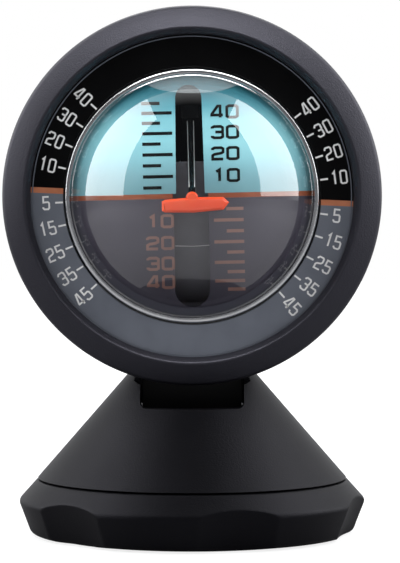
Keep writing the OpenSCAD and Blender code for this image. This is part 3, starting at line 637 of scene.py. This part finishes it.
def ballPrint():
    skyTicks, groundTicks, skyNumbers, groundNumbers = [], [], [], []
    for value in range(5, 50, 5):
        isLong = value % 10 == 0
        high, low = markHeight(value), markHeight(-value)
        ends = ballMarks["longTick"] if isLong else ballMarks["shortTick"]
        skyTicks.append([(ends[0], high), (ends[1], high)])
        ends = ballMarks["rightLong"] if isLong else ballMarks["rightShort"]
        groundTicks.append([(ends[0], low), (ends[1], low)])
        if isLong:
            size = (ballMarks["digitWidth"], ballMarks["digitHeight"], ballMarks["gap"])
            half = ballMarks["digitHeight"] / 2
            skyNumbers += written(str(value), *size, (ballMarks["skyNumbersX"], high - half), 0)
            groundNumbers += written(str(value), *size, (ballMarks["groundNumbersX"], low - half), 0)
    thickness = ballMarks["lift"] + ballMarks["sink"]
    for name, strokes, width, ink in (("sky_ticks", skyTicks, ballMarks["tickHeight"], "inkBlack"),
                                      ("sky_numbers", skyNumbers, ballMarks["stroke"], "inkBlack"),
                                      ("ground_ticks", groundTicks, ballMarks["tickHeight"], "inkRust"),
                                      ("ground_numbers", groundNumbers, ballMarks["stroke"], "inkRust")):
        piece(onSphere(strokeMesh(strokes, width, thickness), ballRadius), name, [ink], "ball", ballPlace)


shadeMark = dict(radius=18.1, height=-8.6, length=6.2, dip=0.15, width=0.13)


def shadeLine():
    # A fine pale line across the grey shade, seen through the slot
    half, height, dip = shadeMark["length"] / 2, shadeMark["height"], shadeMark["dip"]
    stroke = [(-half, height), (0, height - dip), (half, height)]
    bm = strokeMesh([stroke], shadeMark["width"], ballMarks["lift"] + ballMarks["sink"])
    piece(onSphere(bm, shadeMark["radius"]), "shade_line", ["dialWhite"], "swing", ballPlace)


ballPrint()
shadeLine()
print("ball print done")


# Pointer

pointer = dict(length=12.6, height=2.9, drop=1.7, middleX=0.6, tip=1.1, tail=0.6, crest=-0.3,
               innerRadius=24.35, thickness=0.8, chamfer=0.4, rounding=0.12, sharpFrom=25, shortest=0.5,
               bendFrom=-6, bendTo=7)
hub = dict(radius=1.15, y=-0.35, backF=-0.3, frontF=0.72, rounding=0.45, steps=48)
stem = dict(ends=((1.4, 23), (13.4, 10.4)), apart=1, standOff=0.3, highlightRadius=0.1)


def pointerMesh():
    # A blade with a blunt tail and a pointed tip, chamfered all round and bent over the ball
    half, tall = pointer["length"] / 2, pointer["height"] / 2
    tail, crest, shoulder = pointer["tail"] - half, pointer["crest"], half - pointer["tip"]
    outline = [(-half, tall * 0.55), (tail, tall * 0.75), (crest, tall), (shoulder, tall * 0.95),
               (half, tall * 0.25), (shoulder, -tall * 0.7), (crest, -tall), (tail, -tall * 0.9),
               (-half, -tall * 0.7)]
    bm = slab([(x + pointer["middleX"], y - pointer["drop"]) for x, y in reversed(outline)],
              0, pointer["thickness"])
    rim = [e for e in bm.edges if all(v.co.z > pointer["thickness"] * mm / 2 for v in e.verts)]
    bmesh.ops.bevel(bm, geom=rim, offset=pointer["chamfer"] * mm, offset_type="OFFSET", segments=1,
                    profile=0.5, affect="EDGES", material=-1)
    sharp = [e for e in bm.edges if len(e.link_faces) == 2
             and e.calc_face_angle() > radians(pointer["sharpFrom"])
             and e.calc_length() > pointer["shortest"] * mm]
    bmesh.ops.bevel(bm, geom=sharp, offset=pointer["rounding"] * mm, offset_type="OFFSET", segments=3,
                    profile=0.5, affect="EDGES", material=-1)
    for x in range(pointer["bendFrom"], pointer["bendTo"] + 1):
        bmesh.ops.bisect_plane(bm, geom=bm.verts[:] + bm.edges[:] + bm.faces[:], dist=cutTolerance,
                               plane_co=(x * mm, 0, 0), plane_no=(1, 0, 0))
    for point in bm.verts:
        depth = sqrt((pointer["innerRadius"] * mm) ** 2 - point.co.x ** 2 - point.co.y ** 2)
        point.co.z += depth
    return bm


def hubMesh():
    # The stub that holds the stem, behind the blade
    back, front = pointer["innerRadius"] + hub["backF"], pointer["innerRadius"] + hub["frontF"]
    bm = turned([(0, back, 0), (hub["radius"], back, 0), (hub["radius"], front, hub["rounding"]),
                 (0, front, 0)], steps=hub["steps"])
    bm.transform(Matrix.Translation((0, hub["y"] * mm, 0)))
    return bm


def stemRibs():
    # Two thin pale rods along the front of the stem: painted highlights of the glossy stem
    bm = bmesh.new()
    low, high = (Vector((0, y * mm, z * mm)) for y, z in stem["ends"])
    along = (high - low).normalized()
    front = Vector((1, 0, 0)).cross(along)
    turn = along.to_track_quat("Z", "X").to_matrix().to_4x4()
    for side in (-1, 1):
        middle = ((low + high) / 2 + front * stem["standOff"] * mm
                  + Vector((side * stem["apart"] / 2 * mm, 0, 0)))
        bmesh.ops.create_cone(bm, cap_ends=True, segments=12, radius1=stem["highlightRadius"] * mm,
                              radius2=stem["highlightRadius"] * mm, depth=(high - low).length,
                              matrix=Matrix.Translation(middle) @ turn)
    return bm


piece(stemRibs(), "stem_highlights", ["dialWhite"], "swing", ballPlace)
piece(pointerMesh(), "pointer_blade", ["pointerEnamel"], "swing", ballPlace, ["pointer"])
piece(hubMesh(), "pointer_hub", ["pointerEnamel"], "swing", ballPlace)
print("pointer done")


# CAD nodes that keep their own shape take a finish by their slot in the record

slotFinishes = {
    "textured_black_abs": "texturedAbs", "black_plastic": "blackAbs", "foam_tape": "foamTape",
    "zinc_steel": "zincPlate", "spring_steel": "springSteel", "dial_print": "dialGrey",
    "silver_ring": "chromeRing", "clear_plastic": "acrylicSkin", "black_rubber": "sealRubber",
    "plug_plastic": "polyamide", "brass": "turnedBrass", "shade_grey": "shadeGrey",
    "gloss_black": "glossBlack", "pointer_orange": "pointerEnamel", "sky_print": "skyShell",
    "ground_print": "groundShell", "band_print": "bandRust",
}
ownFinishes = {"cone_cover": "baseAbs", "rear_housing": "bowlAbs"}
slotOf = {part["node"]: part["material_slot"] for part in frame["record"]["subparts"]}
for node, cad in frame["nodes"].items():
    finish = ownFinishes.get(node, slotFinishes[slotOf[node]])
    for slot in cad.material_slots:
        slot.material = paints[finish]
print("frame nodes finished")


# Studio

studio = dict(floorHex="8A8A8C", floorSize=1600, nearGlow=0.8, nearReach=130, farReach=330,
              frontHex="3C3E42", backHex="F4F5F7", turnAt=(0.45, 0.62), fill=0.74)


def makeFloor():
    # Paper that keeps the object's shadow; to the camera it turns plain white away from the object
    bm = bmesh.new()
    bmesh.ops.create_grid(bm, x_segments=1, y_segments=1, size=studio["floorSize"] * mm)
    material, tree = newTree("paperFloor")
    place = addNode(tree, "ShaderNodeTexCoord").outputs["Object"]
    away = addNode(tree, "ShaderNodeVectorMath", links={0: place}, operation="LENGTH")
    glow = addNode(tree, "ShaderNodeMapRange",
                   {"From Min": studio["nearReach"] * mm, "From Max": studio["farReach"] * mm,
                    "To Min": studio["nearGlow"], "To Max": 1.0}, {"Value": away.outputs["Value"]})
    rays = addNode(tree, "ShaderNodeLightPath")
    seen = addNode(tree, "ShaderNodeMath",
                   links={0: rays.outputs["Is Camera Ray"], 1: glow.outputs["Result"]}, operation="MULTIPLY")
    paper = addNode(tree, "ShaderNodeBsdfDiffuse", {"Color": linear(studio["floorHex"])})
    light = addNode(tree, "ShaderNodeEmission", {"Color": (1, 1, 1, 1)}, {"Strength": seen.outputs[0]})
    both = addNode(tree, "ShaderNodeAddShader", links={0: paper.outputs[0], 1: light.outputs[0]})
    addNode(tree, "ShaderNodeOutputMaterial", links={"Surface": both.outputs[0]})
    paints["paperFloor"] = material
    piece(bm, "floor", ["paperFloor"], None)


def makeWorld():
    # White behind the object for the eye and for what it mirrors, a dim room in front
    world = bpy.data.worlds.new("studio")
    world.use_nodes = True
    bpy.context.scene.world = world
    tree = world.node_tree
    tree.nodes.clear()
    rays = addNode(tree, "ShaderNodeLightPath")
    direction = addNode(tree, "ShaderNodeSeparateXYZ",
                        links={0: addNode(tree, "ShaderNodeTexCoord").outputs["Generated"]})
    room = addNode(tree, "ShaderNodeValToRGB", links={"Fac": addNode(
        tree, "ShaderNodeMapRange", {"From Min": -1.0, "From Max": 1.0},
        {"Value": direction.outputs["Y"]}).outputs["Result"]})
    for stop, position, shade in zip(room.color_ramp.elements, studio["turnAt"], ("frontHex", "backHex")):
        stop.position, stop.color = position, linear(studio[shade])
    straight = addNode(tree, "ShaderNodeMath",
                       links={0: rays.outputs["Is Camera Ray"], 1: rays.outputs["Is Transmission Ray"]},
                       operation="MAXIMUM")
    white = addNode(tree, "ShaderNodeBackground", {"Color": (1, 1, 1, 1), "Strength": 1.0})
    mirrored = addNode(tree, "ShaderNodeBackground", {"Strength": 1.0}, {"Color": room.outputs["Color"]})
    fill = addNode(tree, "ShaderNodeBackground", {"Color": (1, 1, 1, 1), "Strength": studio["fill"]})
    bounced = addNode(tree, "ShaderNodeMixShader", links={
        "Fac": rays.outputs["Is Glossy Ray"], 1: fill.outputs[0], 2: mirrored.outputs[0]})
    mixed = addNode(tree, "ShaderNodeMixShader", links={
        "Fac": straight.outputs[0], 1: bounced.outputs[0], 2: white.outputs[0]})
    addNode(tree, "ShaderNodeOutputWorld", links={"Surface": mixed.outputs[0]})


softboxes = {  # far enough to light evenly, wide enough to mirror as the broad panes on the dome
    "overheadBox": dict(place=(0, 300, 538), aim=(0, 0, 68), size=(440, 300), radiance=4),
    "leftBox": dict(place=(-498, -25, 605), aim=(0, -25, 605), size=(550, 1075), radiance=3.5),
    "rightBox": dict(place=(498, -25, 605), aim=(0, -25, 605), size=(550, 1075), radiance=3.5),
    # Lights the bezel and the dome's ring alone, so that the dome mirrors no more than its two panes
    "bezelBox": dict(place=(0, -420, 560), aim=(0, 0, 68), size=(520, 260), radiance=10,
                     onlyOn=["bezel_shell", "dome_ring_bright"]),
}


def makeLamps():
    for name, box in softboxes.items():
        lamp = bpy.data.lights.new(name, "AREA")
        lamp.shape = "RECTANGLE"
        lamp.size, lamp.size_y = box["size"][0] * mm, box["size"][1] * mm
        lamp.energy = box["radiance"] * pi * lamp.size * lamp.size_y
        holder = bpy.data.objects.new(name, lamp)
        holder.location = Vector(box["place"]) * mm
        facing = Vector(box["aim"]) - Vector(box["place"])
        holder.rotation_euler = facing.to_track_quat("-Z", "Y").to_euler()
        bpy.context.scene.collection.objects.link(holder)
        if "onlyOn" in box:
            lit = bpy.data.collections.new(name + "Receivers")
            for made in box["onlyOn"]:
                lit.objects.link(bpy.data.objects[made])
            holder.light_linking.receiver_collection = lit


view = dict(distance=542, height=68.2, focalPixels=2685, frameHeight=563, frameWidth=400, sensor=36,
            headPixel=(192.1, 195.9))


def makeCamera():
    lens = bpy.data.cameras.new("camera")
    lens.sensor_width, lens.sensor_fit = view["sensor"], "AUTO"
    lens.lens = view["focalPixels"] * view["sensor"] / view["frameHeight"]
    camera = bpy.data.objects.new("camera", lens)
    right = (view["frameWidth"] / 2 - view["headPixel"][0]) / view["focalPixels"]
    down = (view["frameHeight"] / 2 - view["headPixel"][1]) / view["focalPixels"]
    camera.location = Vector((0, -view["distance"], view["height"])) * mm
    camera.rotation_euler = (pi / 2 - atan2(down, 1), 0, -atan2(right, 1))
    bpy.context.scene.collection.objects.link(camera)
    bpy.context.scene.camera = camera


makeFloor()
makeWorld()
makeLamps()
makeCamera()
bpy.context.scene.view_settings.view_transform = "Standard"
print("studio done")
